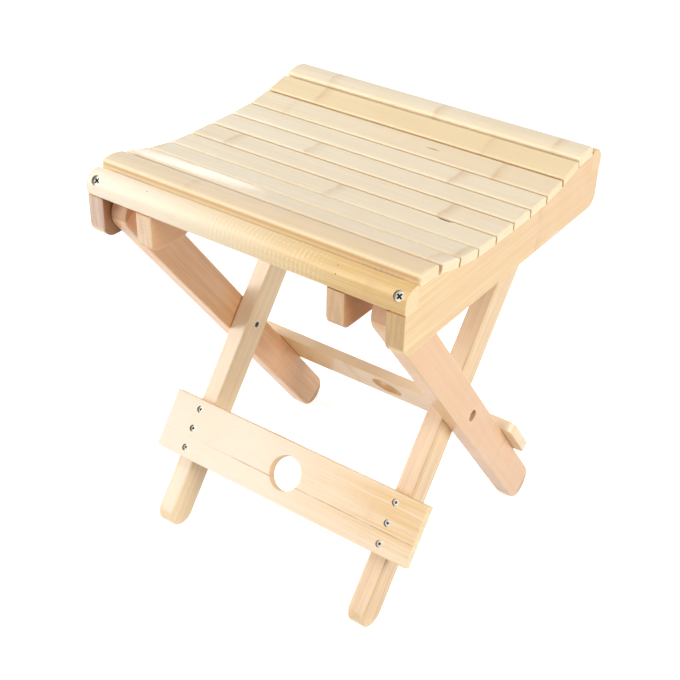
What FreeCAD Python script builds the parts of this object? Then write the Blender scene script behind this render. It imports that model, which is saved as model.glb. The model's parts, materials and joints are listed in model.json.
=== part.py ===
"""A folding stool of laminated bamboo: a slatted saddle seat on two pairs of crossed legs.

X runs along the slats, Y to the rear and Z up. The origin is on the floor under the seat's middle.
The outer legs are hinged to the side rails near the front. The inner legs cross them on two pivot
bolts and carry a rod under the rear of the seat. Right-hand pieces are built and then mirrored.
"""
import FreeCAD, Part
import os
import Sketcher

# Driving sizes in millimetres, angles in degrees
SIZES = {
    # slats, and the heights of their flats above the rails' lower edge, from the middle outwards
    "slat_length": 303.5,
    "slat_gap": 2.1,
    "end_slat_gap": 0.6,
    "slat_thickness": 7.5,
    "slat_edge_round": 2.0,
    "end_slat_crown": 2.0,
    "end_slat_nose_radius": 3.0,
    "saddle_rise_0": 39.0,
    "saddle_rise_1": 39.0,
    "saddle_rise_2": 40.0,
    "saddle_rise_3": 44.3,
    "saddle_rise_4": 51.3,
    "saddle_rise_5": 53.5,
    # aprons
    "apron_depth": 16.0,
    "apron_height": 19.0,
    "apron_nose_radius": 12.0,
    "apron_lip_radius": 3.0,
    "apron_ledge_rise": 36.5,
    # rails and blocks
    "seat_depth": 306.0,
    "rail_thickness": 16.0,
    "rail_corner_radius": 12.0,
    "block_thickness": 15.5,
    "block_overlap": 3.4,
    "block_rise": 4.5,
    "block_corner_radius": 9.0,
    "board_edge_round": 1.2,
    # legs
    "outer_leg_width": 33.0,
    "inner_leg_width": 31.0,
    "leg_thickness": 17.0,
    "leg_edge_round": 1.6,
    "lane_gap": 0.6,
    "pivot_height": 165.7,
    "upper_rise": 163.1,
    "outer_leg_overrun": 2.0,
    "foot_flat_depth": 0.5,
    "hinge_setback": 24.9,
    "hinge_rise": 18.8,
    "rod_setback": 32.6,
    # crossbars
    "bar_thickness": 9.5,
    "bar_edge_round": 1.0,
    "front_bar_overhang": 21.95,
    "front_bar_height": 56.0,
    "front_bar_drop": 111.5,
    "rear_bar_overhang": 10.85,
    "rear_bar_height": 57.0,
    "rear_bar_drop": 104.0,
    "rear_bar_corner_radius": 8.0,
    "hand_hole_diameter": 32.0,
    # rod across the inner legs' tops
    "rod_diameter": 10.0,
    "rod_clearance": 0.3,
    # pivot bolts and sleeve nuts
    "bolt_diameter": 6.0,
    "bolt_head_diameter": 10.0,
    "bolt_head_height": 4.0,
    "bolt_head_sink": 4.0,
    "bolt_end_recess": 2.6,
    "sleeve_diameter": 8.4,
    "flange_diameter": 9.6,
    "flange_thickness": 1.5,
    # hinge screws
    "hinge_diameter": 6.0,
    "hinge_head_diameter": 10.0,
    "hinge_head_height": 3.4,
    "hinge_grip": 11.0,
    # key sockets and cross recesses, as shares of their heads
    "socket_share": 0.28,
    "socket_depth_share": 0.6,
    "cross_arm_share": 0.62,
    "cross_width_share": 0.16,
    "cross_depth_share": 0.6,
    # wood screws
    "bar_screw_head_diameter": 6.2,
    "bar_screw_diameter": 3.2,
    "bar_screw_length": 26.0,
    "bar_screw_pitch": 19.0,
    "apron_screw_head_diameter": 8.4,
    "apron_screw_diameter": 4.0,
    "apron_screw_length": 32.0,
    "apron_screw_tilt": 36.0,
    "screw_sink": 2.0,
    # fits
    "running_clearance": 0.08,
    "head_clearance": 0.3,
    "seat_clearance": 0.05,
}

SLATS_PER_HALF = 5
SCREWS_PER_BAR_END = 3
KEY_SIDES = 6

# Places worked out from the driving sizes
LAYOUT = {
    "half_depth": "Sizes.seat_depth / 2",
    "apron_back": "half_depth - Sizes.apron_depth",
    "pitch": f"(apron_back - Sizes.end_slat_gap) / {SLATS_PER_HALF}",
    "slat_width": "pitch - Sizes.slat_gap",
    "side": "Sizes.slat_length / 2",
    "rail_inner": "side - Sizes.rail_thickness",
    "outer_leg_inner": "rail_inner - Sizes.lane_gap - Sizes.leg_thickness",
    "outer_leg_outer": "outer_leg_inner + Sizes.leg_thickness",
    "inner_leg_outer": "outer_leg_inner - Sizes.lane_gap",
    "inner_leg_inner": "inner_leg_outer - Sizes.leg_thickness",
    "block_inner": "inner_leg_inner - Sizes.lane_gap - Sizes.block_thickness",
    "outer_radius": "Sizes.outer_leg_width / 2",
    "inner_radius": "Sizes.inner_leg_width / 2",
    "hinge_y": "Sizes.hinge_setback - half_depth",
    "rod_y": "half_depth - Sizes.rod_setback",
    "pivot_y": "(hinge_y + rod_y) / 2",
    "splay": "atan((rod_y - pivot_y) / Sizes.upper_rise)",
    "upper_arm": "Sizes.upper_rise / cos(splay)",
    "foot_drop": "Sizes.pivot_height + Sizes.foot_flat_depth",
    "outer_lower_arm": "(foot_drop - outer_radius) / cos(splay)",
    "inner_lower_arm": "(foot_drop - inner_radius) / cos(splay)",
    "hinge_z": "Sizes.pivot_height + Sizes.upper_rise",
    "rail_bottom": "hinge_z - Sizes.hinge_rise",
    "ledge_z": "rail_bottom + Sizes.apron_ledge_rise",
    "saddle_y_0": "0",
    "saddle_y_1": "pitch",
    "saddle_y_2": "2 * pitch",
    "saddle_y_3": "3 * pitch",
    "saddle_y_4": "4 * pitch",
    "saddle_y_5": "apron_back",
    "saddle_z_0": "rail_bottom + Sizes.saddle_rise_0",
    "saddle_z_1": "rail_bottom + Sizes.saddle_rise_1",
    "saddle_z_2": "rail_bottom + Sizes.saddle_rise_2",
    "saddle_z_3": "rail_bottom + Sizes.saddle_rise_3",
    "saddle_z_4": "rail_bottom + Sizes.saddle_rise_4",
    "saddle_z_5": "rail_bottom + Sizes.saddle_rise_5",
    "block_end": "saddle_y_4 - Sizes.block_overlap",
    "block_bottom": "rail_bottom + Sizes.block_rise",
    "front_bar_length": "2 * (inner_leg_outer + Sizes.front_bar_overhang)",
    "rear_bar_length": "2 * (outer_leg_outer + Sizes.rear_bar_overhang)",
    "front_bar_face": "inner_radius + Sizes.bar_thickness",
    "rear_bar_face": "outer_radius + Sizes.bar_thickness",
    "counterbore_floor": "outer_leg_outer - Sizes.bolt_head_height - Sizes.bolt_head_sink",
    "hinge_seat": "outer_leg_inner + Sizes.hinge_head_height + Sizes.head_clearance",
    "apron_screw_x": "rail_inner + Sizes.rail_thickness / 2",
    "nose_y": "Sizes.apron_nose_radius - half_depth",
    "nose_z": "ledge_z + Sizes.apron_height - Sizes.apron_nose_radius",
}

X_AXIS = "1; 0; 0"
Y_AXIS = "0; 1; 0"
ALONG_X = (Y_AXIS, "90")
CUT_MARGIN = "1"
TOLERANCE = 0.01

doc = FreeCAD.newDocument("folding_stool")
nodes = []


def fill_sheet(name, cells):
    """A spreadsheet with one aliased cell per entry."""
    sheet = doc.addObject("Spreadsheet::Sheet", name)
    for row, (alias, content) in enumerate(cells.items(), start=1):
        text = str(content) if isinstance(content, float) else "=" + content
        sheet.set(f"A{row}", alias)
        sheet.set(f"B{row}", text)
        sheet.setAlias(f"B{row}", alias)
    doc.recompute()
    return sheet


sizes = fill_sheet("Sizes", SIZES)
layout = fill_sheet("Layout", LAYOUT)


def value(expression):
    """The present number behind an expression."""
    return float(layout.evalExpression(expression))


def place(x="0", y="0", z="0", axis=X_AXIS, angle="0"):
    """The text of a placement expression."""
    return f"placement(vector({x}; {y}; {z}); rotation(vector({axis}); {angle}))"


def keep(piece):
    """Marks a finished piece for writing under its label."""
    nodes.append(piece)
    return piece


def primitive(body, kind, placement, **lengths):
    """One additive or subtractive solid of a body, with its sizes bound to the sheets."""
    feature = body.newObject("PartDesign::" + kind, kind)
    for name, expression in lengths.items():
        feature.setExpression(name, expression)
    feature.setExpression("Placement", placement)
    return feature


def new_body(label, placement=None):
    body = doc.addObject("PartDesign::Body", label)
    if placement:
        body.setExpression("Placement", placement)
    return body


def fillet(body, radius, chosen):
    """Rounds the edges of a body's present solid for which chosen(edge) is true."""
    doc.recompute()
    tip = body.Tip
    names = [f"Edge{i}" for i, edge in enumerate(tip.Shape.Edges, start=1) if chosen(edge)]
    feature = body.newObject("PartDesign::Fillet", "Round")
    feature.Base = (tip, names)
    feature.setExpression("Radius", radius)
    doc.recompute()
    return feature


def profile(body, corners, thickness, centred=False, last_side_crown=None):
    """Pads a closed outline of (y, z) expressions along X. Its last side may be an arc of that rise."""
    sketch = body.newObject("Sketcher::SketchObject", "Outline")
    plane = next(f for f in body.Origin.OriginFeatures if f.Role == "YZ_Plane")
    sketch.AttachmentSupport = [(plane, "")]
    sketch.MapMode = "FlatFace"
    points = [FreeCAD.Vector(value(y), value(z), 0) for y, z in corners]
    sides = list(zip(points, points[1:] + points[:1]))
    for start, end in sides[:-1]:
        sketch.addGeometry(Part.LineSegment(start, end), False)
    start, end = sides[-1]
    if last_side_crown:
        summit = (start + end) / 2 + FreeCAD.Vector(0, value(last_side_crown), 0)
        sketch.addGeometry(Part.Arc(start, summit, end), False)
    else:
        sketch.addGeometry(Part.LineSegment(start, end), False)
    for i, (y, z) in enumerate(corners):
        sketch.addConstraint(Sketcher.Constraint("Coincident", i, 2, (i + 1) % len(corners), 1))
        for kind, expression, number in (("DistanceX", y, points[i].x), ("DistanceY", z, points[i].y)):
            index = sketch.addConstraint(Sketcher.Constraint(kind, -1, 1, i, 1, number))
            sketch.setExpression(f"Constraints[{index}]", expression)
    if last_side_crown:
        half_chord = f"({corners[-1][0]} - ({corners[0][0]})) / 2"
        radius = f"(({half_chord}) ^ 2 + ({last_side_crown}) ^ 2) / (2 * {last_side_crown})"
        number = value(radius)
        index = sketch.addConstraint(Sketcher.Constraint("Radius", len(corners) - 1, number))
        sketch.setExpression(f"Constraints[{index}]", radius)
    pad = body.newObject("PartDesign::Pad", "Board")
    pad.Profile = sketch
    pad.setExpression("Length", thickness)
    pad.Midplane = centred
    return pad


def along_x_at(edge, y, z):
    """True for an edge along X through the point (y, z)."""
    box = edge.BoundBox
    centre = edge.CenterOfMass
    near = abs(centre.y - y) < TOLERANCE and abs(centre.z - z) < TOLERANCE
    return near and box.XLength > max(box.YLength, box.ZLength)


def mirrored(source, label, normal):
    mirror = doc.addObject("Part::Mirroring", label)
    mirror.Source = source
    mirror.Base = FreeCAD.Vector(0, 0, 0)
    mirror.Normal = FreeCAD.Vector(*normal)
    return mirror


def to_left(right_piece):
    """The left twin of a piece whose label ends in _right."""
    return keep(mirrored(right_piece, right_piece.Label.replace("_right", "_left"), (1, 0, 0)))


def cut(label, base, tool, placement=None):
    piece = doc.addObject("Part::Cut", label)
    piece.Base = base
    piece.Tool = tool
    if placement:
        piece.setExpression("Placement", placement)
    return piece


def linked_group(label, master, placements, placement=None):
    """Separate copies of one solid, at the given placements."""
    links = []
    for spot in placements:
        link = doc.addObject("App::Link", label + "_copy")
        link.LinkedObject = master
        link.setExpression("Placement", spot)
        links.append(link)
    group = doc.addObject("Part::Compound", label)
    group.Links = links
    if placement:
        group.setExpression("Placement", placement)
    return group


# Wood screws: the axis runs into the wood along +Z from the board's face
def wood_screw(name):
    """A countersunk cross-head screw and the pocket it sits in, from the sizes called name_*."""
    head = f"Sizes.{name}_head_diameter / 2"
    shank = f"Sizes.{name}_diameter / 2"
    length = f"Sizes.{name}_length"
    cone = f"({head} - {shank})"
    screw = new_body(name)
    primitive(screw, "AdditiveCone", place(z="Sizes.screw_sink"), Radius1=head, Radius2=shank, Height=cone)
    primitive(screw, "AdditiveCylinder", place(z="Sizes.screw_sink"), Radius=shank, Height=length)
    arm, bar = f"Sizes.cross_arm_share * {head}", f"Sizes.cross_width_share * {head}"
    for long_side, short_side in ((arm, bar), (bar, arm)):
        corner = place(f"-{long_side}", f"-{short_side}", "0")
        primitive(screw, "SubtractiveBox", corner, Length=f"2 * {long_side}", Width=f"2 * {short_side}",
                  Height=f"Sizes.screw_sink + Sizes.cross_depth_share * {cone}")
    gap = "Sizes.seat_clearance"
    pocket = new_body(name + "_pocket")
    primitive(pocket, "AdditiveCylinder", place(z="-" + CUT_MARGIN), Radius=f"{head} + {gap}",
              Height=f"Sizes.screw_sink + {CUT_MARGIN}")
    primitive(pocket, "AdditiveCone", place(z="Sizes.screw_sink"), Radius1=f"{head} + {gap}",
              Radius2=f"{shank} + {gap}", Height=cone)
    primitive(pocket, "AdditiveCylinder", place(z="0"), Radius=f"{shank} + {gap}",
              Height=f"Sizes.screw_sink + {length} + {gap}")
    return screw, pocket


bar_screw, bar_pocket = wood_screw("bar_screw")
apron_screw, apron_pocket = wood_screw("apron_screw")


# Side rails, blocks and aprons share one outline at the seat's ends
def saddle_corner(index):
    """Corner number index of the rails' faceted top, negative towards the front."""
    sign = "-" if index < 0 else ""
    return f"{sign}Layout.saddle_y_{abs(index)}", f"Layout.saddle_z_{abs(index)}"


FRONT_STEP = [
    ("-Layout.apron_back", "Layout.ledge_z"),
    ("-Layout.half_depth", "Layout.ledge_z"),
]


def soften(body, thickness):
    """Rounds the edges of a board's outline below the apron's ledge, on both faces."""
    faces_x = (0, value(thickness))
    ledge = value("Layout.ledge_z")

    def chosen(edge):
        box = edge.BoundBox
        flat = box.XLength < TOLERANCE
        on_face = any(abs(box.XMin - x) < TOLERANCE for x in faces_x)
        below = edge.CenterOfMass.z < ledge - TOLERANCE and box.ZMax < ledge + TOLERANCE
        return flat and on_face and below

    fillet(body, "Sizes.board_edge_round", chosen)


def side_rail_blank():
    rail = new_body("side_rail_blank", place(x="Layout.rail_inner"))
    bottom = "Layout.rail_bottom"
    outline = [("-Layout.half_depth", bottom), ("Layout.half_depth", bottom)]
    outline += [(y.lstrip("-"), z) for y, z in reversed(FRONT_STEP)]
    outline += [saddle_corner(i) for i in range(SLATS_PER_HALF, -SLATS_PER_HALF - 1, -1)]
    outline += FRONT_STEP
    profile(rail, outline, "Sizes.rail_thickness")
    ends = (value("-Layout.half_depth"), value("Layout.half_depth"))
    low = value(bottom)
    fillet(rail, "Sizes.rail_corner_radius", lambda edge: any(along_x_at(edge, y, low) for y in ends))
    soften(rail, "Sizes.rail_thickness")
    primitive(rail, "SubtractiveCylinder", place("0", "Layout.hinge_y", "Layout.hinge_z", *ALONG_X),
              Radius="Sizes.hinge_diameter / 2 + Sizes.seat_clearance",
              Height="Sizes.hinge_grip + Sizes.head_clearance")
    return rail


def front_block_blank():
    """A block with the rail's front outline, cut off square at its rear end."""
    block = new_body("front_block_blank", place(x="Layout.block_inner"))
    bottom, rear = "Layout.block_bottom", "-Layout.block_end"
    step_down = "(Layout.saddle_z_3 - Layout.saddle_z_4) * Sizes.block_overlap / Layout.pitch"
    top_rear = f"Layout.saddle_z_4 + {step_down}"
    outline = [("-Layout.half_depth", bottom), (rear, bottom), (rear, top_rear)]
    outline += [saddle_corner(1 - SLATS_PER_HALF), saddle_corner(-SLATS_PER_HALF)] + FRONT_STEP
    profile(block, outline, "Sizes.block_thickness")
    corners = [(value("-Layout.half_depth"), value(bottom)), (value(rear), value(bottom))]
    fillet(block, "Sizes.block_corner_radius", lambda edge: any(along_x_at(edge, *c) for c in corners))
    soften(block, "Sizes.block_thickness")
    return block


def front_apron_blank():
    apron = new_body("front_apron_blank", place(x="-Layout.side"))
    top = "Layout.ledge_z + Sizes.apron_height"
    back, front = "-Layout.apron_back", "-Layout.half_depth"
    profile(apron, [(back, "Layout.ledge_z"), (front, "Layout.ledge_z"), (front, top), (back, top)],
            "Sizes.slat_length")
    nose = (value(front), value(top))
    fillet(apron, "Sizes.apron_nose_radius", lambda edge: along_x_at(edge, *nose))
    lip, heel = (value(front), value("Layout.ledge_z")), (value(back), value(top))
    fillet(apron, "Sizes.apron_lip_radius", lambda edge: along_x_at(edge, *lip))
    fillet(apron, "Sizes.board_edge_round", lambda edge: along_x_at(edge, *heel))
    return apron


nose_point = ("Layout.nose_y - Sizes.apron_nose_radius * cos(Sizes.apron_screw_tilt)",
              "Layout.nose_z + Sizes.apron_nose_radius * sin(Sizes.apron_screw_tilt)")
apron_spots = [place(x, *nose_point, X_AXIS, "-90 - Sizes.apron_screw_tilt")
               for x in ("Layout.apron_screw_x", "-Layout.apron_screw_x")]
front_pockets = linked_group("apron_pockets", apron_pocket, apron_spots)
rear_pockets = mirrored(front_pockets, "rear_apron_pockets", (0, 1, 0))

front_screws = keep(linked_group("front_apron_screws", apron_screw, apron_spots))
keep(mirrored(front_screws, "rear_apron_screws", (0, 1, 0)))
front_apron = keep(cut("front_apron", front_apron_blank(), front_pockets))
keep(mirrored(front_apron, "rear_apron", (0, 1, 0)))
bored_rail = cut("rail_bored_in_front", side_rail_blank(), front_pockets)
to_left(keep(cut("side_rail_right", bored_rail, rear_pockets)))

front_block = front_block_blank()
front_block.Label = "front_block_right"
to_left(keep(front_block))


# Rear blocks carry the rod under a ledge and against a shoulder
def rod_notch():
    notch = new_body("rod_notch", place(x="Layout.block_inner"))
    reach = "Sizes.rod_diameter / 2 + Sizes.rod_clearance"
    corner = ("-" + CUT_MARGIN, f"Layout.block_end - {CUT_MARGIN}", f"Layout.rail_bottom - {CUT_MARGIN}")
    primitive(notch, "AdditiveBox", place(*corner), Length=f"Sizes.block_thickness + 2 * {CUT_MARGIN}",
              Width=f"Layout.rod_y + {reach} - Layout.block_end + {CUT_MARGIN}",
              Height=f"Sizes.hinge_rise + {reach} + {CUT_MARGIN}")
    return notch


rear_block_blank = mirrored(front_block, "rear_block_blank", (0, 1, 0))
to_left(keep(cut("rear_block_right", rear_block_blank, rod_notch())))


# Slats lie on the rails' flats; the outermost slat at each end has a crowned top and a rounder nose
def slat(number, half_index, sign):
    """One slat on flat half_index, counted from the middle; sign is "-" for the front half."""
    inner_y, inner_z = saddle_corner(half_index)
    outer_y, outer_z = saddle_corner(half_index + 1)
    slope = f"({outer_z} - {inner_z}) / ({outer_y} - {inner_y})"
    centre_y = f"{sign}1 * ({half_index} + 0.5) * Layout.pitch"
    centre_z = f"{inner_z} + {slope} * Layout.pitch / 2"
    tilt = f"{sign}1 * atan({slope})"
    board = new_body(f"seat_slat_{number:02d}", place("0", centre_y, centre_z, X_AXIS, tilt))
    left, right, top = "-Layout.slat_width / 2", "Layout.slat_width / 2", "Sizes.slat_thickness"
    at_seat_end = half_index == SLATS_PER_HALF - 1
    crown = "Sizes.end_slat_crown" if at_seat_end else None
    profile(board, [(left, top), (left, "0"), (right, "0"), (right, top)], "Sizes.slat_length",
            centred=True, last_side_crown=crown)
    top_height, sides = value(top), (value(left), value(right))

    def on_top(edge):
        return edge.BoundBox.ZMin > top_height - TOLERANCE

    def over_end(edge):
        """An edge of the slat's ends, apart from the lower ones."""
        return edge.BoundBox.XLength < TOLERANCE and edge.BoundBox.ZMax > TOLERANCE

    if at_seat_end:
        fillet(board, "Sizes.end_slat_nose_radius",
               lambda edge: any(along_x_at(edge, y, top_height) for y in sides))
    fillet(board, "Sizes.slat_edge_round", over_end if at_seat_end else on_top)
    return keep(board)


FRONT_HALF = [(i, "-") for i in reversed(range(SLATS_PER_HALF))]
REAR_HALF = [(i, "") for i in range(SLATS_PER_HALF)]
for slat_number, (flat_index, half_sign) in enumerate(FRONT_HALF + REAR_HALF, start=1):
    slat(slat_number, flat_index, half_sign)

# Each pair of legs is built upright about its pivot and then leaned into place
OUTER_LEAN, INNER_LEAN = "Layout.splay", "-Layout.splay"
OUTER_FRAME = place("0", "Layout.pivot_y", "Sizes.pivot_height", X_AXIS, OUTER_LEAN)
INNER_FRAME = place("0", "Layout.pivot_y", "Sizes.pivot_height", X_AXIS, INNER_LEAN)


def leg_blank(label, inner_x, radius, lower_arm, overrun, lean):
    """A round-ended board about the pivot, with a small flat where its foot meets the floor."""
    leg = new_body(label)
    top = f"Layout.upper_arm + {overrun}"
    primitive(leg, "AdditiveBox", place(inner_x, f"-{radius}", f"-{lower_arm}"),
              Length="Sizes.leg_thickness", Width=f"2 * {radius}", Height=f"{top} + {lower_arm}")
    for end_z in (top, f"-{lower_arm}"):
        primitive(leg, "AdditiveCylinder", place(inner_x, "0", end_z, *ALONG_X),
                  Radius=radius, Height="Sizes.leg_thickness")
    fillet(leg, "Sizes.leg_edge_round", lambda edge: edge.BoundBox.XLength < TOLERANCE)
    sole = place("0", "0", f"-{lower_arm}", X_AXIS, f"-1 * ({lean})")
    below = place(f"{inner_x} - {CUT_MARGIN}", f"-2 * {radius}", f"Sizes.foot_flat_depth - 3 * {radius}")
    primitive(leg, "SubtractiveBox", f"{sole} * {below}", Length=f"Sizes.leg_thickness + 2 * {CUT_MARGIN}",
              Width=f"4 * {radius}", Height=f"2 * {radius}")
    return leg


def bore(body, start_x, end_x, height, radius):
    """A round hole along X between two places, at a height above the pivot."""
    primitive(body, "SubtractiveCylinder", place(start_x, "0", height, *ALONG_X), Radius=radius,
              Height=f"{end_x} - ({start_x})")


def crossbar_blank(name, near_y, corner_radius=None):
    """A flat bar across a pair of legs with a hand hole in its middle, from the sizes called name_*."""
    bar = new_body(name + "_blank")
    length, height, drop = f"Layout.{name}_length", f"Sizes.{name}_height", f"Sizes.{name}_drop"
    primitive(bar, "AdditiveBox", place(f"-{length} / 2", near_y, f"-{drop} - {height} / 2"),
              Length=length, Width="Sizes.bar_thickness", Height=height)
    if corner_radius:
        through = value("Sizes.bar_thickness") - TOLERANCE
        fillet(bar, corner_radius, lambda edge: edge.BoundBox.YLength > through)
    primitive(bar, "SubtractiveCylinder",
              place("0", f"{near_y} - {CUT_MARGIN}", f"-{drop}", X_AXIS, "-90"),
              Radius="Sizes.hand_hole_diameter / 2", Height=f"Sizes.bar_thickness + 2 * {CUT_MARGIN}")
    fillet(bar, "Sizes.bar_edge_round", lambda edge: edge.BoundBox.YLength < TOLERANCE)
    return bar


def bar_screw_spots(leg_inner_x, face_y, drop, turn):
    centre_x = f"({leg_inner_x} + Sizes.leg_thickness / 2)"
    middle = (SCREWS_PER_BAR_END - 1) / 2
    return [place(f"{side}1 * {centre_x}", face_y, f"-{drop} + ({row - middle}) * Sizes.bar_screw_pitch",
                  X_AXIS, turn)
            for side in ("-", "") for row in range(SCREWS_PER_BAR_END)]


# Outer legs with the rear crossbar
rear_spots = bar_screw_spots("Layout.outer_leg_inner", "Layout.rear_bar_face", "Sizes.rear_bar_drop", "90")
rear_bar_pockets = linked_group("rear_bar_pockets", bar_pocket, rear_spots)
keep(linked_group("rear_crossbar_screws", bar_screw, rear_spots, OUTER_FRAME))
rear_bar = crossbar_blank("rear_bar", "Layout.outer_radius", "Sizes.rear_bar_corner_radius")
keep(cut("rear_crossbar", rear_bar, rear_bar_pockets, OUTER_FRAME))

outer_leg = leg_blank("outer_leg_blank", "Layout.outer_leg_inner", "Layout.outer_radius",
                      "Layout.outer_lower_arm", "Sizes.outer_leg_overrun", OUTER_LEAN)
bore(outer_leg, f"Layout.outer_leg_inner - {CUT_MARGIN}", f"Layout.outer_leg_outer + {CUT_MARGIN}", "0",
     "Sizes.bolt_diameter / 2 + Sizes.seat_clearance")
bore(outer_leg, "Layout.counterbore_floor", f"Layout.outer_leg_outer + {CUT_MARGIN}", "0",
     "Sizes.bolt_head_diameter / 2 + Sizes.head_clearance")
bore(outer_leg, f"Layout.outer_leg_inner - {CUT_MARGIN}", f"Layout.outer_leg_outer + {CUT_MARGIN}",
     "Layout.upper_arm", "Sizes.hinge_diameter / 2 + Sizes.running_clearance")
bore(outer_leg, f"Layout.outer_leg_inner - {CUT_MARGIN}", "Layout.hinge_seat", "Layout.upper_arm",
     "Sizes.hinge_head_diameter / 2 + Sizes.head_clearance")
to_left(keep(cut("outer_leg_right", outer_leg, rear_bar_pockets, OUTER_FRAME)))

# Inner legs with the front crossbar and the rod
front_spots = bar_screw_spots("Layout.inner_leg_inner", "-Layout.front_bar_face",
                              "Sizes.front_bar_drop", "-90")
front_bar_pockets = linked_group("front_bar_pockets", bar_pocket, front_spots)
keep(linked_group("front_crossbar_screws", bar_screw, front_spots, INNER_FRAME))
front_bar = crossbar_blank("front_bar", "-Layout.front_bar_face")
keep(cut("front_crossbar", front_bar, front_bar_pockets, INNER_FRAME))

inner_leg = leg_blank("inner_leg_blank", "Layout.inner_leg_inner", "Layout.inner_radius",
                      "Layout.inner_lower_arm", "0", INNER_LEAN)
bore(inner_leg, f"Layout.inner_leg_inner - {CUT_MARGIN}", f"Layout.inner_leg_outer + {CUT_MARGIN}", "0",
     "Sizes.sleeve_diameter / 2 + Sizes.running_clearance")
bore(inner_leg, f"Layout.inner_leg_inner - {CUT_MARGIN}",
     "Layout.inner_leg_inner + Sizes.flange_thickness + Sizes.head_clearance", "0",
     "Sizes.flange_diameter / 2 + Sizes.head_clearance")
bore(inner_leg, f"Layout.inner_leg_inner - {CUT_MARGIN}", f"Layout.inner_leg_outer + {CUT_MARGIN}",
     "Layout.upper_arm", "Sizes.rod_diameter / 2 + Sizes.seat_clearance")
to_left(keep(cut("inner_leg_right", inner_leg, front_bar_pockets, INNER_FRAME)))

rod = new_body("seat_rod", place("0", "Layout.rod_y", "Layout.hinge_z"))
primitive(rod, "AdditiveCylinder", place("-Layout.inner_leg_outer", "0", "0", *ALONG_X),
          Radius="Sizes.rod_diameter / 2", Height="2 * Layout.inner_leg_outer")
keep(rod)


# Pivot hardware, turned about the X axis
def socket(body, x, depth, head_diameter):
    """A six-sided key socket."""
    prism = primitive(body, "SubtractivePrism", place(x, "0", "0", *ALONG_X), Height=depth,
                      Circumradius=f"Sizes.socket_share * {head_diameter}")
    prism.Polygon = KEY_SIDES


def pivot_bolt():
    bolt = new_body("pivot_bolt_right", OUTER_FRAME)
    tip = "Layout.inner_leg_inner + Sizes.bolt_end_recess"
    primitive(bolt, "AdditiveCylinder", place(tip, "0", "0", *ALONG_X), Radius="Sizes.bolt_diameter / 2",
              Height=f"Layout.counterbore_floor - ({tip})")
    primitive(bolt, "AdditiveCylinder", place("Layout.counterbore_floor", "0", "0", *ALONG_X),
              Radius="Sizes.bolt_head_diameter / 2", Height="Sizes.bolt_head_height")
    depth = "Sizes.socket_depth_share * Sizes.bolt_head_height"
    socket(bolt, f"Layout.counterbore_floor + Sizes.bolt_head_height - {depth}", depth,
           "Sizes.bolt_head_diameter")
    return bolt


def sleeve_nut():
    nut = new_body("sleeve_nut_right", OUTER_FRAME)
    face = "Layout.inner_leg_inner"
    primitive(nut, "AdditiveCylinder", place(face, "0", "0", *ALONG_X), Radius="Sizes.sleeve_diameter / 2",
              Height="Sizes.leg_thickness")
    primitive(nut, "AdditiveCylinder", place(face, "0", "0", *ALONG_X), Radius="Sizes.flange_diameter / 2",
              Height="Sizes.flange_thickness")
    bore(nut, f"{face} - {CUT_MARGIN}", f"Layout.inner_leg_outer + {CUT_MARGIN}", "0",
         "Sizes.bolt_diameter / 2 + Sizes.seat_clearance")
    return nut


def hinge_screw():
    screw = new_body("hinge_screw_right", place("0", "Layout.hinge_y", "Layout.hinge_z"))
    shoulder = "Layout.hinge_seat - Sizes.head_clearance / 2"
    primitive(screw, "AdditiveCylinder", place(f"{shoulder} - Sizes.hinge_head_height", "0", "0", *ALONG_X),
              Radius="Sizes.hinge_head_diameter / 2", Height="Sizes.hinge_head_height")
    primitive(screw, "AdditiveCylinder", place(shoulder, "0", "0", *ALONG_X),
              Radius="Sizes.hinge_diameter / 2",
              Height=f"Layout.rail_inner + Sizes.hinge_grip - ({shoulder})")
    socket(screw, f"{shoulder} - Sizes.hinge_head_height",
           "Sizes.socket_depth_share * Sizes.hinge_head_height", "Sizes.hinge_head_diameter")
    return screw


for hardware in (pivot_bolt, sleeve_nut, hinge_screw):
    to_left(keep(hardware()))

doc.recompute()


def check_document():
    """Stops on a failed feature or a broken solid."""
    for item in doc.Objects:
        if "Invalid" in item.State or "Error" in item.State:
            raise RuntimeError(f"{item.Label} failed: {item.State}")
    for piece in nodes:
        if piece.Shape.isNull() or not piece.Shape.isValid() or not piece.Shape.Solids:
            raise RuntimeError(f"{piece.Label} has no valid solid")


check_document()
os.makedirs("parts", exist_ok=True)
for piece in nodes:
    piece.Shape.exportStep(f"parts/{piece.Label}.step")
print(len(nodes), "nodes written")
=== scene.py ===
# %% [markdown]
# # A folding bamboo stool
# The stool is laminated bamboo under a clear satin lacquer, with zinc-plated screws and pivots. The
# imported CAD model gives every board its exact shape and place. This lesson adds what a drawing can't
# hold: fibres, culm nodes, glue lines, planer marks, turned screws, soft light and the photograph's camera.

# %% Load the frame
import json
import math

import bpy
import numpy as np
from mathutils import Matrix, Vector


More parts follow.
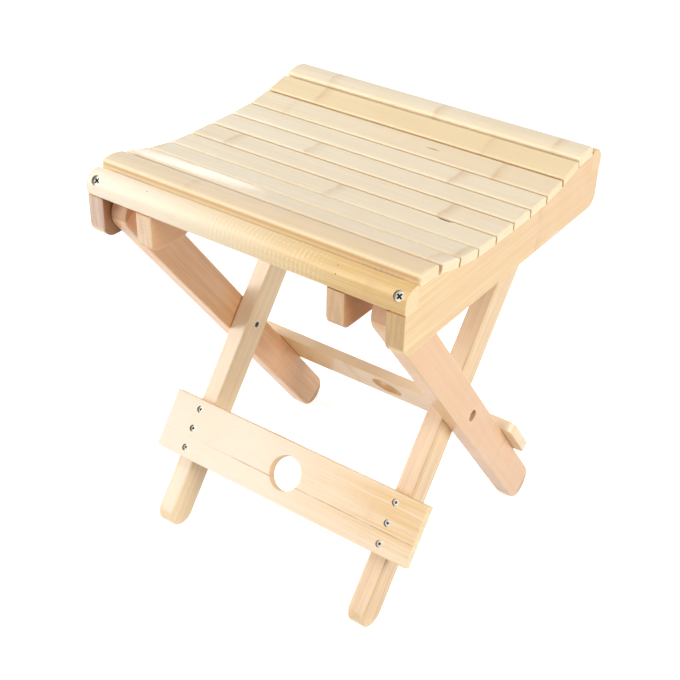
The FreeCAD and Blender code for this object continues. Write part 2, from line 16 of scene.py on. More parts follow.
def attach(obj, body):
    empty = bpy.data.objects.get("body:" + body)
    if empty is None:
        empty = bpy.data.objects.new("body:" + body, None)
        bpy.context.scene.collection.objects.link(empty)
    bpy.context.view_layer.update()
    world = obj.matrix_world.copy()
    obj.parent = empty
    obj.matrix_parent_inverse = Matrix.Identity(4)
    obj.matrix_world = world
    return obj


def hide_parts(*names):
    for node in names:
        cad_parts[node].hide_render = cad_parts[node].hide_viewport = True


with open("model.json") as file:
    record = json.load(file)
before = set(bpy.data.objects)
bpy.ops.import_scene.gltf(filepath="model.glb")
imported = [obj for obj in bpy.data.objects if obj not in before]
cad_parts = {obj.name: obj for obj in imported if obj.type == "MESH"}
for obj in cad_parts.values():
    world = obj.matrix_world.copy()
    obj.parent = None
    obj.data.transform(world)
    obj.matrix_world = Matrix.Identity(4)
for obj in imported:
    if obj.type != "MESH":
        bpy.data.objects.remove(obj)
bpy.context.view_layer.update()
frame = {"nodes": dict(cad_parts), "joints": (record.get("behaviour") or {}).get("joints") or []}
nodes = frame["nodes"]

# %% [markdown]
# ## Camera
# The photograph was taken from the front right, well above the seat, with a longish lens. The position,
# the three angles and the focal length below come from fitting the stool's straight edges to the picture.
# A camera looks along its own -Z, so the matrix's columns are right, up and the reverse of the view.

# %% Camera
PHOTO_SIDE = 680.0
FOCAL_PIXELS = 1240.76
SENSOR_WIDTH = 36.0
CAMERA_PLACE = Vector((0.52276, -0.76997, 0.80399))
YAW, PITCH, ROLL = (math.radians(a) for a in (-34.55, -33.56, 1.62))


def camera_axes(yaw, pitch, roll):
    """Right, up and view directions: the view turns by yaw from +Y and by pitch above level, then rolls."""
    view = Vector((math.sin(yaw) * math.cos(pitch), math.cos(yaw) * math.cos(pitch), math.sin(pitch)))
    level = Vector((math.cos(yaw), -math.sin(yaw), 0.0))
    upright = level.cross(view)
    right = level * math.cos(roll) + upright * math.sin(roll)
    up = upright * math.cos(roll) - level * math.sin(roll)
    return right, up, view


lens = bpy.data.cameras.new("photo_camera")
lens.sensor_width = SENSOR_WIDTH
lens.lens = SENSOR_WIDTH * FOCAL_PIXELS / PHOTO_SIDE
camera = bpy.data.objects.new("photo_camera", lens)
right, up, view = camera_axes(YAW, PITCH, ROLL)
turn = Matrix((right, up, -view)).transposed()
camera.matrix_world = Matrix.Translation(CAMERA_PLACE) @ turn.to_4x4()
bpy.context.scene.collection.objects.link(camera)
bpy.context.scene.camera = camera
print("camera lens", round(lens.lens, 2), "mm")

# %% [markdown]
# ## Node helpers
# Every finish here is a graph of shader nodes. A few small helpers keep the graphs readable: they add a node
# and fill its sockets with numbers or links, do arithmetic, mix two colours, and make and place node groups.

# %% Node helpers


def plug(tree, socket, content):
    """Links content into a socket if it is a socket itself, or else stores it as the socket's value."""
    if isinstance(content, bpy.types.NodeSocket):
        tree.links.new(content, socket)
    else:
        socket.default_value = content


def add(tree, kind, settings=None, **sockets):
    """A new shader node; sockets are given by name, with _ for a space."""
    node = tree.nodes.new("ShaderNode" + kind)
    for name, setting in (settings or {}).items():
        setattr(node, name, setting)
    for name, content in sockets.items():
        plug(tree, node.inputs[name.replace("_", " ")], content)
    return node


def calc(tree, operation, *terms):
    """The result of a Math node."""
    node = tree.nodes.new("ShaderNodeMath")
    node.operation = operation
    for socket, term in zip(node.inputs, terms):
        plug(tree, socket, term)
    return node.outputs[0]


def vector_calc(tree, operation, *terms):
    """The vector result of a Vector Math node."""
    node = tree.nodes.new("ShaderNodeVectorMath")
    node.operation = operation
    for socket, term in zip(node.inputs, terms):
        plug(tree, socket, term)
    return node.outputs[0]


def ramp(tree, value, low, high, start=0.0, end=1.0):
    """Runs smoothly from start to end while value goes from low to high."""
    limits = {"From_Min": low, "From_Max": high, "To_Min": start, "To_Max": end}
    return add(tree, "MapRange", {"interpolation_type": "SMOOTHSTEP"}, Value=value, **limits).outputs[0]


def blend_colour(tree, share, first, second, kind="MIX"):
    """The second colour laid over the first by a share from 0 to 1."""
    node = tree.nodes.new("ShaderNodeMix")
    node.data_type = "RGBA"
    node.blend_type = kind
    plug(tree, node.inputs[0], share)
    plug(tree, node.inputs[6], first)
    plug(tree, node.inputs[7], second)
    return node.outputs[2]


def new_group(name, inputs, outputs):
    """An empty shader node group with its sockets, and the two ends that its inner nodes link to."""
    group = bpy.data.node_groups.new(name, "ShaderNodeTree")
    for socket, kind in inputs.items():
        group.interface.new_socket(socket, in_out="INPUT", socket_type="NodeSocket" + kind)
    for socket, kind in outputs.items():
        group.interface.new_socket(socket, in_out="OUTPUT", socket_type="NodeSocket" + kind)
    entry = group.nodes.new("NodeGroupInput")
    leave = group.nodes.new("NodeGroupOutput")
    return group, entry.outputs, leave.inputs


def use_group(tree, group, **sockets):
    """Places a node group in a material and returns its outputs."""
    node = tree.nodes.new("ShaderNodeGroup")
    node.node_tree = group
    for name, content in sockets.items():
        plug(tree, node.inputs[name.replace("_", " ")], content)
    return node.outputs


print("node helpers ready")

# %% [markdown]
# ## Fibres
# Bamboo has no growth rings. Its colour comes from bundles of fibres that run dead straight along the
# culm, as long pale and tan streaks with fine dark flecks where a bundle was cut. Stretching noise
# along the board's length gives both: about forty to sixty times longer than wide for streaks, and twenty
# times for flecks.

# %% Fibre group
fibres, enter, leave = new_group(
    "bamboo_fibres",
    {"Vector": "Vector", "Seed": "Float"},
    {"Streak": "Float", "Fleck": "Float", "Height": "Float"},
)
seed_step = vector_calc(fibres, "MULTIPLY", enter["Seed"], (0.173, 0.311, 0.227))
fibre_place = vector_calc(fibres, "ADD", enter["Vector"], seed_step)


def stretched_noise(tree, place, stretch, detail):
    """Noise with so many cells to the metre along the board, across it and through it."""
    cells = vector_calc(tree, "MULTIPLY", place, stretch)
    return add(tree, "TexNoise", Vector=cells, Scale=1.0, Detail=detail, Roughness=0.6).outputs[0]


broad = stretched_noise(fibres, fibre_place, (5.0, 190.0, 190.0), 3.0)
fine = stretched_noise(fibres, fibre_place, (14.0, 900.0, 900.0), 3.0)
dashes = stretched_noise(fibres, fibre_place, (90.0, 1700.0, 1700.0), 2.0)
both = calc(fibres, "MULTIPLY_ADD", fine, 0.45, calc(fibres, "MULTIPLY", broad, 0.55))
fibres.links.new(ramp(fibres, both, 0.36, 0.64), leave["Streak"])
fibres.links.new(ramp(fibres, dashes, 0.60, 0.72), leave["Fleck"])
fibres.links.new(calc(fibres, "MULTIPLY_ADD", dashes, -0.35, fine), leave["Height"])
print("fibre group has", len(fibres.nodes), "nodes")

# %% [markdown]
# ## Culm strips and nodes
# A board is glued up from strips, each split from another culm, so neighbours differ a little in tone
# and a hairline of glue shows between them. Every culm has nodes, the rings where branches grew. Planed
# flat, a node is a brownish smudge right across its strip, sharp on one side and soft on the other.

# %% Strip group
strips, enter, leave = new_group(
    "culm_strips",
    {
        "Vector": "Vector",
        "Strip Width": "Float",
        "Seam At": "Float",
        "Seed": "Float",
        "Node At": "Float",
        "Node Spacing": "Float",
        "Node Scatter": "Float",
    },
    {"Tone": "Float", "Seam": "Float", "Node": "Float", "Node Line": "Float"},
)
parts = add(strips, "SeparateXYZ", Vector=enter["Vector"]).outputs
from_seam = calc(strips, "SUBTRACT", parts[1], enter["Seam At"])
strip_count = calc(strips, "DIVIDE", from_seam, enter["Strip Width"])
strip_number = calc(strips, "FLOOR", strip_count)
in_strip = calc(strips, "FRACT", strip_count)
to_border = calc(strips, "MULTIPLY", calc(strips, "PINGPONG", in_strip, 0.5), enter["Strip Width"])
strips.links.new(ramp(strips, to_border, 0.0002, 0.0010, 1.0, 0.0), leave["Seam"])
strip_key = calc(strips, "MULTIPLY_ADD", enter["Seed"], 7.31, strip_number)
chance = add(strips, "TexWhiteNoise", {"noise_dimensions": "1D"}, W=strip_key).outputs
strips.links.new(chance[0], leave["Tone"])
shift = calc(strips, "MULTIPLY", calc(strips, "SUBTRACT", chance[0], 0.5), enter["Node Scatter"])
along = calc(strips, "SUBTRACT", calc(strips, "SUBTRACT", parts[0], enter["Node At"]), shift)
wander_place = vector_calc(strips, "MULTIPLY", enter["Vector"], (8.0, 60.0, 30.0))
wander_place = vector_calc(strips, "ADD", wander_place, enter["Seed"])
wander = add(strips, "TexNoise", Vector=wander_place, Scale=1.0, Detail=3.0).outputs[0]
along = calc(strips, "MULTIPLY_ADD", calc(strips, "SUBTRACT", wander, 0.5), 0.007, along)
spacings = calc(strips, "DIVIDE", along, enter["Node Spacing"])
turns = calc(strips, "FRACT", calc(strips, "ADD", spacings, 0.5))
signed = calc(strips, "MULTIPLY", calc(strips, "SUBTRACT", turns, 0.5), enter["Node Spacing"])
sharp_side = ramp(strips, signed, -0.0045, 0.0008)
soft_side = ramp(strips, signed, 0.0, 0.012, 1.0, 0.0)
strips.links.new(calc(strips, "MULTIPLY", sharp_side, soft_side), leave["Node"])
node_line = ramp(strips, calc(strips, "ABSOLUTE", signed), 0.0003, 0.003, 1.0, 0.0)
strips.links.new(node_line, leave["Node Line"])
print("strip group has", len(strips.nodes), "nodes")

# %% [markdown]
# ## Edges, sides and ends
# Along the edges a yellower, brighter cream tint is painted highlight, standing in for the light that
# rounded edges catch, while the narrow sides between two boards get a darker, golden tint. A board is nearly
# a box, so the distance to an edge needs no mesh: on the surface one of the three distances to the box's
# sides is zero, and near an edge the next one is small. At a board's ends the fibres are cut across and show
# as small brown dots, in layers where several strips were glued face to face.

# %% Edge and end groups
edges, enter, leave = new_group(
    "board_edges",
    {"Vector": "Vector", "Half Size": "Vector", "Width": "Float"},
    {"Edge": "Float", "Side": "Float"},
)
inside = vector_calc(edges, "SUBTRACT", enter["Half Size"], vector_calc(edges, "ABSOLUTE", enter["Vector"]))
depth = add(edges, "SeparateXYZ", Vector=inside).outputs
shallow = calc(edges, "MINIMUM", depth[0], depth[1])
deep = calc(edges, "MAXIMUM", depth[0], depth[1])
second = calc(edges, "MAXIMUM", shallow, calc(edges, "MINIMUM", deep, depth[2]))
edge_share = calc(edges, "DIVIDE", second, enter["Width"])
edges.links.new(ramp(edges, edge_share, 0.2, 1.0, 1.0, 0.0), leave["Edge"])
at_side = ramp(edges, depth[1], 0.0003, 0.0012, 1.0, 0.0)
below_edge = ramp(edges, calc(edges, "DIVIDE", depth[2], enter["Width"]), 0.5, 1.1)
edges.links.new(calc(edges, "MULTIPLY", at_side, below_edge), leave["Side"])

ends, enter, leave = new_group(
    "board_ends",
    {"Vector": "Vector", "Reach": "Float", "Seed": "Float"},
    {"End": "Float", "Dots": "Float", "Layers": "Float"},
)
parts = add(ends, "SeparateXYZ", Vector=enter["Vector"]).outputs
past = calc(ends, "SUBTRACT", calc(ends, "ABSOLUTE", parts[0]), enter["Reach"])
ends.links.new(ramp(ends, past, -0.0006, 0.0002), leave["End"])
cross_place = add(ends, "CombineXYZ", X=parts[1], Y=parts[2], Z=enter["Seed"]).outputs[0]
spots = add(ends, "TexVoronoi", {"feature": "F1"}, Vector=cross_place, Scale=900.0).outputs[0]
ends.links.new(ramp(ends, spots, 0.18, 0.42, 1.0, 0.0), leave["Dots"])
layer_place = vector_calc(ends, "MULTIPLY", cross_place, (35.0, 420.0, 1.0))
layer_place = vector_calc(ends, "ADD", layer_place, enter["Seed"])
layers = add(ends, "TexNoise", Vector=layer_place, Scale=1.0, Detail=2.0).outputs[0]
ends.links.new(ramp(ends, layers, 0.4, 0.6), leave["Layers"])
print("edge group has", len(edges.nodes), "nodes, end group", len(ends.nodes))

# %% [markdown]
# ## Handling, slits and planer ripple
# Three more effects are shared. Handling is a slow drift in tone and gloss over each board. A slit is a
# short dark crack along the fibres. Planer ripple is the row of small even waves that a dull planer knife
# leaves across a board, plain to see along the front apron.

# %% Surface groups
handling, enter, leave = new_group(
    "handling", {"Vector": "Vector", "Seed": "Float"}, {"Smudge": "Float", "Gloss": "Float"}
)
cloud_place = vector_calc(handling, "ADD", enter["Vector"], enter["Seed"])
cloud = add(handling, "TexNoise", Vector=cloud_place, Scale=16.0, Detail=3.0).outputs[0]
polish = add(handling, "TexNoise", Vector=cloud_place, Scale=45.0, Detail=4.0).outputs[0]
handling.links.new(ramp(handling, cloud, 0.35, 0.7), leave["Smudge"])
handling.links.new(ramp(handling, polish, 0.3, 0.7), leave["Gloss"])

slit, enter, leave = new_group(
    "slit", {"Vector": "Vector", "Centre": "Vector", "Half Size": "Vector"}, {"Slit": "Float"}
)
away = vector_calc(slit, "SUBTRACT", enter["Vector"], enter["Centre"])
ragged = add(slit, "TexNoise", Vector=enter["Vector"], Scale=900.0, Detail=2.0).outputs[0]
away = vector_calc(slit, "DIVIDE", away, enter["Half Size"])
distance = add(slit, "VectorMath", {"operation": "LENGTH"}, Vector=away).outputs["Value"]
reach = calc(slit, "MULTIPLY_ADD", ragged, 0.5, distance)
slit.links.new(ramp(slit, reach, 0.75, 1.25, 1.0, 0.0), leave["Slit"])

ripple, enter, leave = new_group(
    "planer_ripple",
    {"Vector": "Vector", "Pitch": "Float", "Start": "Float", "End": "Float"},
    {"Crest": "Float", "Trough": "Float"},
)
parts = add(ripple, "SeparateXYZ", Vector=enter["Vector"]).outputs
phase = calc(ripple, "DIVIDE", calc(ripple, "MULTIPLY", parts[0], math.tau), enter["Pitch"])
wave = calc(ripple, "SINE", phase)
FADE = 0.02
rise = ramp(ripple, calc(ripple, "SUBTRACT", parts[0], enter["Start"]), 0.0, FADE)
fall = ramp(ripple, calc(ripple, "SUBTRACT", enter["End"], parts[0]), 0.0, FADE)
patches = stretched_noise(ripple, enter["Vector"], (60.0, 420.0, 420.0), 2.0)
broken = ramp(ripple, patches, 0.42, 0.62, 0.05, 1.0)
strength = calc(ripple, "MULTIPLY", calc(ripple, "MULTIPLY", rise, fall), broken)
ripple.links.new(calc(ripple, "MULTIPLY", ramp(ripple, wave, 0.0, 1.0), strength), leave["Crest"])
ripple.links.new(calc(ripple, "MULTIPLY", ramp(ripple, wave, 0.0, -1.0), strength), leave["Trough"])
print("surface groups ready")

# %% [markdown]
# ## Each board's own frame
# A pattern has to run along each board whatever its slope. The CAD mesh says how the board lies: the
# direction that most of its area faces is its thickness, the fibres' direction is known for each kind of
# board, and the cross product gives the third. A Mapping node of type Texture then turns Object coordinates
# into metres along, across and through the board, counted from its middle.

# %% Board frames
SQUARE_LIMIT = 0.01


def mesh_points(node):
    """All of a mesh's points as rows."""
    points = np.empty(len(node.data.vertices) * 3)
    node.data.vertices.foreach_get("co", points)
    return points.reshape(-1, 3)


def board_frame(node, fibre):
    """Middle, half size and the three directions of a board whose fibres run along the given direction."""
    count = len(node.data.polygons)
    areas, normals = np.empty(count), np.empty(count * 3)
    node.data.polygons.foreach_get("area", areas)
    node.data.polygons.foreach_get("normal", normals)
    normals = normals.reshape(-1, 3)
    fibre = np.array(fibre, float) / np.linalg.norm(fibre)
    sideways = np.abs(normals @ fibre) < SQUARE_LIMIT
    largest = np.take_along_axis(normals, np.abs(normals).argmax(1)[:, None], 1)
    ways, way = np.unique(np.round(normals * np.sign(largest), 3), axis=0, return_inverse=True)
    through = ways[np.bincount(way.ravel(), weights=areas * sideways).argmax()]
    through = through / np.linalg.norm(through)
    across = np.cross(through, fibre)
    axes = np.array([fibre, across, through])
    seen = mesh_points(node) @ axes.T
    middle = (seen.min(0) + seen.max(0)) / 2
    half = (seen.max(0) - seen.min(0)) / 2
    return middle @ axes, half, axes


HINGE = np.array(next(joint for joint in frame["joints"] if joint["name"] == "seat_fold")["pos_m"])
PIVOT = np.array(next(joint for joint in frame["joints"] if joint["name"] == "leg_scissor")["pos_m"])
OUTER_RUN = HINGE - PIVOT
INNER_RUN = OUTER_RUN * (1, -1, 1)
ACROSS_SEAT, FRONT_TO_REAR = (1, 0, 0), (0, 1, 0)
print("legs lean by", round(math.degrees(math.atan2(-OUTER_RUN[1], OUTER_RUN[2])), 2), "degrees")

# %% [markdown]
# ## The bamboo finish
# All boards share one recipe with different values. Two tones run from one end of the board to the other,
# streaks and strips vary them, nodes and flecks darken them, and edges, sides and ends get their own
# colour. The lacquer is a thin clear coat over a satin surface, and the fibres lift it very slightly.

# %% Bamboo finish
SMUDGE_TAN, NODE_BROWN, NODE_DARK = (226, 196, 150), (212, 174, 126), (190, 148, 104)
FLECK_BROWN, GLUE_BROWN, SLIT_BROWN = (190, 148, 92), (182, 136, 84), (92, 66, 38)
EDGE_HIGHLIGHT_CREAM, SIDE_GOLD, INNER_SHADE_BROWN = (255, 240, 196), (216, 174, 108), (138, 80, 46)
RIPPLE_CREAM, RIPPLE_TAN, HOLE_WALL_GRAIN_AND_SHADE = (255, 242, 206), (236, 190, 124), (222, 182, 130)
PALE_END, DOT_BROWN = (250, 228, 178), (170, 126, 78)
STRIP_SHARE, SMUDGE_SHARE, NODE_LINE_SHARE = 0.3, 0.12, 0.4
WALL_SHARE, INNER_SHADE_SHARE, DOT_SHARE = 0.8, 0.85, 0.3
CREST_SHARE, TROUGH_SHARE = 0.35, 0.3
INNER_SHADE_DEPTH, END_DEPTH, FRONT_HALF = 0.004, 0.0004, 0.004
COAT_WEIGHT, COAT_ROUGHNESS = 0.25, 0.05
SMOOTH, WORN = 0.34, 0.46
BUMP_STRENGTH, BUMP_DISTANCE = 0.12, 0.0006


def linear_colour(red, green, blue):
    """A colour that is named by its screen values from 0 to 255, as the shader's linear values."""
    screen = np.array((red, green, blue)) / 255
    linear = np.where(screen <= 0.04045, screen / 12.92, ((screen + 0.055) / 1.055) ** 2.4)
    return (*linear, 1.0)


def dress(node, material):
    """Gives a CAD node one material in place of its own."""
    node.data.materials.clear()
    node.data.materials.append(material)


def new_finish(name):
    """A new material with its node tree, its shader and Object coordinates."""
    material = bpy.data.materials.new(name)
    material.use_nodes = True
    tree = material.node_tree
    return material, tree, tree.nodes["Principled BSDF"], add(tree, "TexCoord").outputs["Object"]


def bamboo(name, fibre, tones, seed, strip=0.2, seam_at=0.1, node_at=0.0, node_spacing=0.27,
           node_scatter=0.0, node_strength=0.5, streak_strength=0.45, plain_start=False, fleck_strength=0.14,
           seam_strength=0.0, edge_width=0.0018, edge_strength=0.3, edge_tone=EDGE_HIGHLIGHT_CREAM,
           front_edge_only=False, side_strength=0.45, side_tone=SIDE_GOLD, end_tone=PALE_END,
           end_strength=0.5, layer_strength=0.0, ends_from=None, shaded_inner_side=0, hole_radius=0.0, slits=(),
           ripple_span=None):
    """Lacquered bamboo for one CAD board, with tones (at its start, at its far end, its streaks)."""
    middle, half, axes = board_frame(nodes[name], fibre)
    material, tree, shader, place = new_finish("bamboo_" + name)
    angles = Matrix(axes.tolist()).transposed().to_euler()
    board = add(tree, "Mapping", {"vector_type": "TEXTURE"}, Vector=place, Location=middle,
                Rotation=angles).outputs[0]
    fibre_out = use_group(tree, fibres, Vector=board, Seed=seed)
    strip_out = use_group(tree, strips, Vector=board, Strip_Width=strip, Seam_At=seam_at, Seed=seed,
                          Node_At=node_at, Node_Spacing=node_spacing, Node_Scatter=node_scatter)
    edge_out = use_group(tree, edges, Vector=board, Half_Size=half, Width=edge_width)
    end_out = use_group(tree, ends, Vector=board, Reach=ends_from or half[0] - END_DEPTH, Seed=seed)
    wear_out = use_group(tree, handling, Vector=board, Seed=seed)

    def tint(colour, share, strength, tone):
        """The colour with a tone laid over it, by a varying share times a strength."""
        return blend_colour(tree, calc(tree, "MULTIPLY", share, strength), colour, linear_colour(*tone))

    start, finish, streak = tones
    run, across, through = add(tree, "SeparateXYZ", Vector=board).outputs
    way_along = ramp(tree, run, -half[0], half[0])
    colour = blend_colour(tree, way_along, linear_colour(*start), linear_colour(*finish))
    tone_share = calc(tree, "MULTIPLY_ADD", fibre_out["Streak"], streak_strength,
                      calc(tree, "MULTIPLY", strip_out["Tone"], STRIP_SHARE))
    if plain_start:
        fade_in = ramp(tree, run, -0.3 * half[0], half[0], 0.05, 1.0)
        tone_share = calc(tree, "MULTIPLY", tone_share, fade_in)
    colour = tint(colour, tone_share, 1.0, streak)
    colour = tint(colour, wear_out["Smudge"], SMUDGE_SHARE, SMUDGE_TAN)
    patchy = calc(tree, "MULTIPLY_ADD", wear_out["Gloss"], 0.8, 0.2)
    colour = tint(colour, calc(tree, "MULTIPLY", strip_out["Node"], patchy), node_strength, NODE_BROWN)
    line = calc(tree, "MULTIPLY", strip_out["Node Line"], patchy)
    colour = tint(colour, line, node_strength * NODE_LINE_SHARE, NODE_DARK)
    colour = tint(colour, fibre_out["Fleck"], fleck_strength, FLECK_BROWN)
    seam = calc(tree, "MULTIPLY", strip_out["Seam"], patchy)
    if plain_start:
        fade_in = ramp(tree, run, -0.7 * half[0], -0.2 * half[0], 0.1, 1.0)
        seam = calc(tree, "MULTIPLY", seam, fade_in)
    colour = tint(colour, seam, seam_strength, GLUE_BROWN)
    colour = tint(colour, edge_out["Side"], side_strength, side_tone)
    # Painted highlight: edges are tinted cream by default, as where rounded edges catch the light; the right
    # inner leg's brown edge tone is its glue line instead.
    edge = edge_out["Edge"]
    # On the end slats the edge mask, and with it the painted highlight, keeps to the front edge.
    if front_edge_only:
        edge = calc(tree, "MULTIPLY", edge, ramp(tree, across, FRONT_HALF, -FRONT_HALF))
    colour = tint(colour, edge, edge_strength, edge_tone)
    # The hand holes' walls are tinted tan, partly for their cut fibres and partly as painted shade inside
    # the holes.
    if hole_radius:
        in_face = add(tree, "VectorMath", {"operation": "LENGTH"},
                      Vector=add(tree, "CombineXYZ", X=run, Y=across).outputs[0]).outputs["Value"]
        on_wall = ramp(tree, in_face, hole_radius + 0.0006, hole_radius + 0.0001)
        colour = tint(colour, on_wall, WALL_SHARE, HOLE_WALL_GRAIN_AND_SHADE)
    # Painted shade: the inner face of a side rail is darkened to brown, as the shade under the seat.
    if shaded_inner_side:
        inner = ramp(tree, calc(tree, "MULTIPLY", through, shaded_inner_side), half[2] - INNER_SHADE_DEPTH, half[2])
        colour = tint(colour, inner, INNER_SHADE_SHARE, INNER_SHADE_BROWN)
    end_colour = tint(linear_colour(*end_tone), end_out["Dots"], DOT_SHARE, DOT_BROWN)
    end_colour = tint(end_colour, end_out["Layers"], layer_strength, DOT_BROWN)
    colour = blend_colour(tree, calc(tree, "MULTIPLY", end_out["End"], end_strength), colour, end_colour)
    for centre, size in slits:
        mark = use_group(tree, slit, Vector=board, Centre=centre, Half_Size=size)["Slit"]
        colour = tint(colour, mark, 1.0, SLIT_BROWN)
    height = calc(tree, "MULTIPLY_ADD", strip_out["Seam"], -0.4, fibre_out["Height"])
    if ripple_span:
        pitch, begin, finish_at = ripple_span
        wave_out = use_group(tree, ripple, Vector=board, Pitch=pitch, Start=begin, End=finish_at)
        crest, trough = wave_out["Crest"], wave_out["Trough"]
        if front_edge_only:
            crest, trough = calc(tree, "MULTIPLY", crest, edge), calc(tree, "MULTIPLY", trough, edge)
        colour = tint(colour, crest, CREST_SHARE, RIPPLE_CREAM)
        colour = tint(colour, trough, TROUGH_SHARE, RIPPLE_TAN)
        height = calc(tree, "ADD", height, crest)
    plug(tree, shader.inputs["Base Color"], colour)
    plug(tree, shader.inputs["Roughness"], ramp(tree, wear_out["Gloss"], 0.0, 1.0, SMOOTH, WORN))
    shader.inputs["Coat Weight"].default_value = COAT_WEIGHT
    shader.inputs["Coat Roughness"].default_value = COAT_ROUGHNESS
    bump = add(tree, "Bump", Height=height, Strength=BUMP_STRENGTH, Distance=BUMP_DISTANCE)
    plug(tree, shader.inputs["Normal"], bump.outputs[0])
    dress(nodes[name], material)


print("bamboo recipe ready")

# %% [markdown]
# ## Slats
# Ten slats lie across the seat. Most are pale. The first is tan, the ninth is yellow and the eighth yellows
# towards its far end, and each one's own seed shifts its tone a little. The culm nodes' places were read off
# the photograph through the fitted camera, to about 5 mm. Two slats have short slits along their fibres, and
# the first has planer ripple near one end of its nose.

# %% Slats
PALE_SLAT = ((251, 239, 212), (248, 231, 200), (242, 221, 188))
ODD_SLATS = {
    1: ((247, 227, 195), (243, 213, 173), (233, 206, 166)),
    8: ((250, 236, 208), (241, 220, 184), (238, 216, 180)),
    9: ((246, 226, 186), (242, 218, 176), (238, 212, 166)),
}
SLAT_NODES = [-0.065, 0.14, -0.155, 0.01, -0.115, -0.05, 0.075, -0.115, -0.1, 0.125]
SLAT_NODE_SPACING = [0.25, 0.30, 0.30, 0.29, 0.215, 0.31, 0.27, 0.215, 0.175, 0.115]
SLAT_SLITS = {
    8: [((0.036, 0.0008, 0.0035), (0.0085, 0.0006, 0.02))],
    4: [((0.108, 0.0104, 0.0035), (0.0080, 0.0014, 0.02))],
}
SLAT_SIDES = {1: 0.7, 10: 0.0}
NOSE_RIPPLE = (0.0050, 0.078, 0.142)
SEED_STEP = 1.37
for number, node_at in enumerate(SLAT_NODES, start=1):
    at_seat_end = number in (1, len(SLAT_NODES))
    tones = ODD_SLATS.get(number, PALE_SLAT)
    bamboo(f"seat_slat_{number:02d}", ACROSS_SEAT, tones, seed=number * SEED_STEP, node_at=node_at,
           node_spacing=SLAT_NODE_SPACING[number - 1], node_strength=0.45, streak_strength=0.6,
           slits=SLAT_SLITS.get(number, ()), edge_width=0.0042 if at_seat_end else 0.0015,
           edge_strength=0.45 if at_seat_end else 0.3, front_edge_only=at_seat_end,
           side_strength=SLAT_SIDES.get(number, 0.4), ripple_span=NOSE_RIPPLE if number == 1 else None)
print("finished", len(SLAT_NODES), "slats")

# %% [markdown]
# ## Seat frame
# The aprons' rounded noses are pale at one end and golden at the other, and three pin holes were left in the
# front one. The side rails are wide boards in a warm apricot tone, with painted shade darkening their inner
# faces, and the blocks under the seat are cut from similar stock. Their sawn ends show brown layers.

# %% Seat frame
APRON = ((252, 239, 216), (238, 206, 146), (220, 176, 106))
APRICOT = ((246, 221, 169), (238, 200, 150), (230, 184, 126))
BLOCKS = {
    "left": ((235, 186, 138), (235, 186, 138), (222, 170, 122)),
    "right": ((214, 160, 114), (214, 160, 114), (200, 146, 100)),
}
END_TONES = {"left": (220, 190, 175), "right": (214, 176, 122)}
BLOCK_ENDS = {"left": (246, 218, 183), "right": (226, 190, 148)}
APRON_END, REAR_APRON_END = (246, 214, 162), (240, 203, 151)
PIN_HOLE = (0.0006, 0.0006, 0.0006)
PIN_PLACES = ((0.09015, -0.1468, 0.3640), (0.09134, -0.15145, 0.3594), (-0.09275, -0.14565, 0.36456))
APRON_RIPPLE = (0.0040, -0.036, 0.088)
apron_middle, _, apron_axes = board_frame(nodes["front_apron"], ACROSS_SEAT)
pin_places = (np.array(PIN_PLACES) - apron_middle) @ apron_axes.T
pin_holes = [(tuple(place), PIN_HOLE) for place in pin_places]
bamboo("front_apron", ACROSS_SEAT, APRON, seed=3.1, node_at=0.118, node_spacing=0.4, node_strength=0.3,
       streak_strength=0.7, plain_start=True, fleck_strength=0.2, edge_strength=0.0, side_strength=0.0,
       end_tone=APRON_END, end_strength=1.0, slits=pin_holes, ripple_span=APRON_RIPPLE)
bamboo("rear_apron", ACROSS_SEAT, APRON, seed=5.7, node_at=-0.06, node_spacing=0.3, edge_strength=0.0,
       side_strength=0.0, end_tone=REAR_APRON_END, end_strength=1.0)
for side, seed, inward in (("left", 8.2, 1), ("right", 9.9, -1)):
    bamboo("side_rail_" + side, FRONT_TO_REAR, APRICOT, seed=seed, node_at=0.045, node_spacing=0.26,
           node_strength=0.3, streak_strength=0.55, edge_strength=0.2, side_strength=0.0,
           end_tone=END_TONES[side], end_strength=0.9, layer_strength=0.3, shaded_inner_side=inward)
    for end in ("front", "rear"):
        bamboo(f"{end}_block_{side}", FRONT_TO_REAR, BLOCKS[side], seed=seed + len(end), node_at=0.06,
               node_strength=0.3, side_strength=0.0, end_tone=BLOCK_ENDS[side], end_strength=0.8,
               layer_strength=0.25)
print("finished the seat frame")

# %% [markdown]
# ## Legs and crossbars
# The outer legs are pinkish and plain. The inner legs are yellower and more streaked, and the right one's
# edges are brown. The crossbars are glued from two strips, and the seam shows at about two thirds of the
# front one's height.

# %% Legs and crossbars
OUTER = {
    "left": ((252, 206, 160), (252, 206, 160), (228, 168, 116)),
    "right": ((236, 192, 150), (236, 192, 150), (230, 180, 132)),
}
INNER = {
    "left": ((254, 234, 195), (254, 234, 195), (236, 205, 163)),
    "right": ((251, 223, 177), (251, 223, 177), (222, 180, 132)),
}
HAND_HOLE = 0.016
LEG_END = (196, 146, 110)
OUTER_END_FROM, INNER_END_FROM = 0.206, 0.205
# The left inner leg's edges take the painted highlight; the right one's brown edges are glue lines.
LEG_EDGES = {"left": EDGE_HIGHLIGHT_CREAM, "right": (176, 128, 80)}
LEG_SIDES = {"left": (250, 232, 217), "right": (232, 205, 184)}
BAR = ((251, 230, 209), (243, 226, 200), (228, 181, 111))
